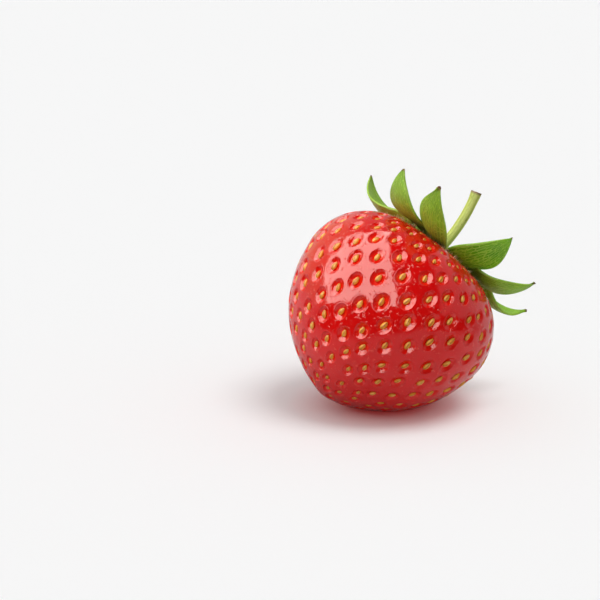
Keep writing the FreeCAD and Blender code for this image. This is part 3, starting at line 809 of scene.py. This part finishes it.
# ---------------------------------------------------------------------------------------------
# The calyx cap: the low green button that the sepals and the stalk grow from. It is ribbed where
# the sepals run into it and fills the bottom of the hollow.
# ---------------------------------------------------------------------------------------------
CAP_RADIUS = 0.0019
CAP_RIM = 0.0004
CAP_RIBS = 18
CAP_RIB_HEIGHT = 0.00005
CAP_RINGS = (0.7, 0.6, 0.5, 0.4, 0.3, 0.15, 0)
CAP_TURNS = 144
CAP_ROUGHNESS = 0.5
CAP_GREEN = (0.30, 0.42, 0.08)
CAP_DARK = (0.10, 0.20, 0.02)
CAP_BLOTCHES = (900, 3, 0.35, 0.65)
CAP_GRAIN = (2500, 2)
CAP_GRAIN_HEIGHT = 0.00002

cap_mesh = bmesh.new()
cap_top = CAP_HEIGHT - HOLLOW_DEPTH
rim_centre = Vector((CAP_RADIUS - CAP_RIM, 0, cap_top - CAP_RIM))
cap_rail = [Vector((0, 0, -HOLLOW_DEPTH)), Vector((CAP_RADIUS, 0, -HOLLOW_DEPTH))]
cap_rail += [round_point(rim_centre, CAP_RIM, math.radians(turn)) for turn in range(0, 91, 10)]
cap_rail += [Vector((CAP_RADIUS * share, 0, cap_top)) for share in CAP_RINGS]
dots = [cap_mesh.verts.new(point) for point in cap_rail]
lines = [cap_mesh.edges.new(pair) for pair in zip(dots, dots[1:])]
bmesh.ops.spin(
    cap_mesh,
    geom=dots + lines,
    cent=(0, 0, 0),
    axis=(0, 0, 1),
    angle=2 * math.pi,
    steps=CAP_TURNS,
    use_merge=True,
)
bmesh.ops.remove_doubles(cap_mesh, verts=cap_mesh.verts, dist=MERGE_GAP)
bmesh.ops.recalc_face_normals(cap_mesh, faces=cap_mesh.faces)
for vertex in cap_mesh.verts:
    out = math.hypot(vertex.co.x, vertex.co.y) / CAP_RADIUS
    rib = math.cos(CAP_RIBS * math.atan2(vertex.co.y, vertex.co.x))
    vertex.co.z += CAP_RIB_HEIGHT * rib * out * (vertex.co.z > 0)
bmesh.ops.transform(cap_mesh, matrix=to_row, verts=cap_mesh.verts)
cap_skin, cap_shader = new_material("cap_skin", CAP_ROUGHNESS)
blotches = add_mottle(cap_skin, *CAP_BLOTCHES)
cap_colour = add_mix(cap_skin, blotches, CAP_DARK, CAP_GREEN)
cap_skin.node_tree.links.new(cap_colour, cap_shader.inputs["Base Color"])
add_bump(cap_skin, cap_shader, add_mottle(cap_skin, *CAP_GRAIN), CAP_GRAIN_HEIGHT)
add_piece("cap", cap_mesh, cap_skin, ["calyx_cap"])


# ---------------------------------------------------------------------------------------------
# The stalk: a juicy round stem, faintly ribbed along its length, that bends back as it rises and
# is cut off square. The cut has dried brown, with a pale pith inside its rim.
# ---------------------------------------------------------------------------------------------
STALK_RADIUS = 0.00064
STALK_STRAIGHT = 0.0024
STALK_BEND_RADIUS = 0.019
STALK_BEND = math.radians(21)
STALK_SIDES = 42
STALK_RINGS = (10, 30)
STALK_RIBS = 7
STALK_RIB_DEPTH = 0.035
STALK_FOOT_FLARE = 0.35
STALK_CUT_FLARE = 0.12
STALK_FLARE_SHARE = 0.16
CUT_WALL = 0.00016
CUT_SINK = 0.00010
PITH_SHARE = 1.4
STALK_STREAKS = 2.5
STALK_STREAK_SPAN = (-0.35, 0.35)
STALK_SPECKS = (2200, 2, 0.66, 0.74)
STALK_SPECK_SHARE = 0.7
STALK_CUT_SPAN = (0.955, 0.99)
STALK_PITH_SPAN = (1.05, 1.3)
STALK_GRAIN = (2500, 2)
STALK_GRAIN_HEIGHT = 0.00002
STALK_ROUGHNESS = 0.42
STALK_SHINE = 0.35
STALK_GREEN = (0.40, 0.45, 0.060)
STALK_LIGHT = (0.64, 0.66, 0.17)
STALK_SPECK = (0.22, 0.13, 0.03)
CUT_BROWN = (0.17, 0.09, 0.04)
CUT_PITH = (0.42, 0.36, 0.14)


def stalk_swell(share):
    """How much thicker the stalk is at its foot and at its cut than between them."""
    foot = STALK_FOOT_FLARE * (1 - soft_step(0, STALK_FLARE_SHARE, share)) ** 2
    return 1 + foot + STALK_CUT_FLARE * soft_step(1 - STALK_FLARE_SHARE, 1, share)


stalk_mesh = bmesh.new()
bmesh.ops.create_circle(stalk_mesh, segments=STALK_SIDES, radius=STALK_RADIUS, cap_ends=True)
way_layer = stalk_mesh.verts.layers.float.new("way")
streak_layer = stalk_mesh.verts.layers.float.new("streak")
verts = list(stalk_mesh.verts)
for vertex in verts:
    turn = math.atan2(vertex.co.y, vertex.co.x)
    vertex.co *= stalk_swell(0) * (1 + STALK_RIB_DEPTH * math.cos(STALK_RIBS * turn))
    side = Vector((math.cos(turn), math.sin(turn), 0))
    vertex[streak_layer] = noise.noise(side * STALK_STREAKS)
bmesh.ops.translate(stalk_mesh, verts=verts, vec=(0, 0, cap_top))
edges = list(stalk_mesh.edges)
straight_rings, bend_rings = STALK_RINGS
length = STALK_STRAIGHT + STALK_BEND_RADIUS * STALK_BEND
bend_centre = Vector((-STALK_BEND_RADIUS, 0, cap_top + STALK_STRAIGHT))
middle = Vector((0, 0, cap_top))
share = 0.0
for index in range(straight_rings + bend_rings):
    grown = bmesh.ops.extrude_edge_only(stalk_mesh, edges=edges)["geom"]
    verts = [item for item in grown if isinstance(item, bmesh.types.BMVert)]
    edges = [item for item in grown if isinstance(item, bmesh.types.BMEdge)]
    edges = [edge for edge in edges if all(vertex in verts for vertex in edge.verts)]
    if index < straight_rings:
        rise = Vector((0, 0, STALK_STRAIGHT / straight_rings))
        bmesh.ops.translate(stalk_mesh, verts=verts, vec=rise)
        middle += rise
        next_share = share + STALK_STRAIGHT / straight_rings / length
    else:
        turn = Matrix.Rotation(-STALK_BEND / bend_rings, 3, "Y")
        bmesh.ops.rotate(stalk_mesh, verts=verts, cent=bend_centre, matrix=turn)
        middle = bend_centre + turn @ (middle - bend_centre)
        next_share = share + STALK_BEND_RADIUS * STALK_BEND / bend_rings / length
    grow = stalk_swell(next_share) / stalk_swell(share)
    bmesh.ops.scale(stalk_mesh, verts=verts, vec=(grow,) * 3, space=Matrix.Translation(-middle))
    share = next_share
    for vertex in verts:
        vertex[way_layer] = share
cut = bmesh.ops.contextual_create(stalk_mesh, geom=edges)["faces"]
bmesh.ops.recalc_face_normals(stalk_mesh, faces=stalk_mesh.faces)
for sink in (0.0, -CUT_SINK):
    bmesh.ops.inset_region(
        stalk_mesh,
        faces=cut,
        thickness=CUT_WALL,
        depth=sink,
        use_even_offset=True,
    )
for vertex in cut[0].verts:
    vertex[way_layer] = PITH_SHARE
bmesh.ops.transform(stalk_mesh, matrix=to_row, verts=stalk_mesh.verts)
bmesh.ops.recalc_face_normals(stalk_mesh, faces=stalk_mesh.faces)
stalk_skin, stalk_shader = new_material("stalk_skin", STALK_ROUGHNESS)
stalk_shader.inputs["Specular IOR Level"].default_value = STALK_SHINE
streaks = add_range(stalk_skin, read_layer(stalk_skin, "streak"), *STALK_STREAK_SPAN)
stalk_colour = add_mix(stalk_skin, streaks, STALK_GREEN, STALK_LIGHT)
specks = add_mottle(stalk_skin, *STALK_SPECKS)
specks = join_values(stalk_skin, "MULTIPLY", specks, STALK_SPECK_SHARE)
stalk_colour = add_mix(stalk_skin, specks, stalk_colour, STALK_SPECK)
way = read_layer(stalk_skin, "way")
at_cut = add_range(stalk_skin, way, *STALK_CUT_SPAN)
stalk_colour = add_mix(stalk_skin, at_cut, stalk_colour, CUT_BROWN)
in_pith = add_range(stalk_skin, way, *STALK_PITH_SPAN)
stalk_colour = add_mix(stalk_skin, in_pith, stalk_colour, CUT_PITH)
stalk_skin.node_tree.links.new(stalk_colour, stalk_shader.inputs["Base Color"])
add_bump(stalk_skin, stalk_shader, add_mottle(stalk_skin, *STALK_GRAIN), STALK_GRAIN_HEIGHT)
add_piece("stem", stalk_mesh, stalk_skin, ["stalk"])


# ---------------------------------------------------------------------------------------------
# Dried stamens and fuzz: what is left of the flower. A ring of brown threads, each with a shrunken
# head, lies on the shoulder under the sepals, and short golden hairs stand on the skin round it.
# ---------------------------------------------------------------------------------------------
STAMENS = 30
STAMEN_RADIUS = 0.00007
STAMEN_FOOT = ((0.0019, 0, -0.0003), (0.0026, 0, 0.0002))
STAMEN_LIFT = (0.00012, 0.00032)
STAMEN_REACH = (5, 12)
STAMEN_STRAY = 0.4
STAMEN_HEAD = 0.00022
STAMEN_HEAD_SHAPE = (1, 0.7, 0.55, 1)
THREAD_SIDES = 5
THREAD_TAPER = (1.1, 0.5)
HAIRS = 260
HAIR_RADIUS = 0.00002
HAIR_LENGTH = (0.0003, 0.0007)
HAIR_BAND = (3, 22)
HAIR_SINK = 0.00005
HAIR_LEAN = (0.3, 1.1)
HAIR_CURL = (0.5, 1.6)
HAIR_SWAY = 0.5
STAMEN_ROUGHNESS = 0.6
HAIR_ROUGHNESS = 0.45
STAMEN_BROWN = (0.34, 0.16, 0.045)
STAMEN_STRAW = (0.65, 0.45, 0.16)
HAIR_GOLD = (0.85, 0.60, 0.26)
HAIR_PALE = (0.90, 0.80, 0.55)
STAMEN_DRYNESS = (1500, 2, 0.35, 0.65)
STAMEN_GRAIN = (4000, 2)
STAMEN_GRAIN_HEIGHT = 0.00002
HAIR_MOTTLE = (1200, 1)


def add_thread(mesh, path, radius):
    """A round thread along a path in the XZ plane, closed to a point at both ends."""
    before = set(mesh.verts)
    steps = len(path) - 1
    bmesh.ops.create_grid(mesh, x_segments=steps, y_segments=THREAD_SIDES, size=1)
    made = [vertex for vertex in mesh.verts if vertex not in before]
    for vertex in made:
        index = round((vertex.co.x + 1) / 2 * steps)
        turn = (vertex.co.y + 1) * math.pi
        ahead = (path[min(index + 1, steps)] - path[max(index - 1, 0)]).normalized()
        upward = Vector((ahead.z, 0, -ahead.x))
        outward = math.cos(turn) * upward + math.sin(turn) * Vector((0, 1, 0))
        slim = THREAD_TAPER[0] - THREAD_TAPER[1] * index / steps
        thick = 0.0 if index in (0, steps) else radius * slim
        vertex.co = path[index] + thick * outward
    bmesh.ops.remove_doubles(mesh, verts=made, dist=MERGE_GAP)
    return [vertex for vertex in made if vertex.is_valid]


shoulder = outline[::-1]
stamen_mesh = bmesh.new()
head_layer = stamen_mesh.verts.layers.float.new("head")
for number in range(STAMENS):
    path = [Vector(point) for point in STAMEN_FOOT]
    lift = random.uniform(*STAMEN_LIFT)
    for index in range(1, random.randint(*STAMEN_REACH), 2):
        outward = shoulder[index + 1] - shoulder[index]
        outward = Vector((-outward.z, 0, outward.x)).normalized()
        path.append(shoulder[index] + outward * lift)
    verts = add_thread(stamen_mesh, path, STAMEN_RADIUS)
    head = bmesh.ops.create_uvsphere(stamen_mesh, u_segments=7, v_segments=5, radius=STAMEN_HEAD)
    place = Matrix.Translation(path[-1]) @ Matrix.Diagonal(STAMEN_HEAD_SHAPE)
    bmesh.ops.transform(stamen_mesh, matrix=place, verts=head["verts"])
    for vertex in head["verts"]:
        vertex[head_layer] = 1.0
    share = (number + random.uniform(-STAMEN_STRAY, STAMEN_STRAY)) / STAMENS
    turn = Matrix.Rotation(math.radians(360 * share), 4, "Z")
    bmesh.ops.transform(stamen_mesh, matrix=to_row @ turn, verts=verts + head["verts"])
bmesh.ops.recalc_face_normals(stamen_mesh, faces=stamen_mesh.faces)
stamen_husk, stamen_shader = new_material("stamen_husk", STAMEN_ROUGHNESS)
dryness = add_mottle(stamen_husk, *STAMEN_DRYNESS)
stamen_colour = add_mix(stamen_husk, dryness, STAMEN_STRAW, STAMEN_BROWN)
stamen_colour = add_mix(stamen_husk, read_layer(stamen_husk, "head"), stamen_colour, STAMEN_BROWN)
stamen_husk.node_tree.links.new(stamen_colour, stamen_shader.inputs["Base Color"])
add_bump(stamen_husk, stamen_shader, add_mottle(stamen_husk, *STAMEN_GRAIN), STAMEN_GRAIN_HEIGHT)
add_piece("stamens", stamen_mesh, stamen_husk)

hair_mesh = bmesh.new()
for number in range(HAIRS):
    index = random.randint(*HAIR_BAND)
    step = (shoulder[index + 1] - shoulder[index]).normalized()
    outward = Vector((-step.z, 0, step.x))
    long = random.uniform(*HAIR_LENGTH)
    lean = random.uniform(*HAIR_LEAN)
    root = shoulder[index] - outward * HAIR_SINK
    middle = root + (outward + step * lean * HAIR_CURL[0]).normalized() * long / 2
    end = middle + (outward + step * lean * HAIR_CURL[1]).normalized() * long / 2
    verts = add_thread(hair_mesh, [root, root.lerp(middle, 0.5), middle, end], HAIR_RADIUS)
    turn = Matrix.Rotation(random.uniform(0, 2 * math.pi), 4, "Z")
    sway = Matrix.Translation(root) @ Matrix.Rotation(random.gauss(0, HAIR_SWAY), 4, outward)
    sway = sway @ Matrix.Translation(-root)
    bmesh.ops.transform(hair_mesh, matrix=to_row @ turn @ sway, verts=verts)
bmesh.ops.recalc_face_normals(hair_mesh, faces=hair_mesh.faces)
hair_gold, hair_shader = new_material("hair_gold", HAIR_ROUGHNESS)
hair_colour = add_mix(hair_gold, add_mottle(hair_gold, *HAIR_MOTTLE), HAIR_GOLD, HAIR_PALE)
hair_gold.node_tree.links.new(hair_colour, hair_shader.inputs["Base Color"])
add_piece("hairs", hair_mesh, hair_gold)
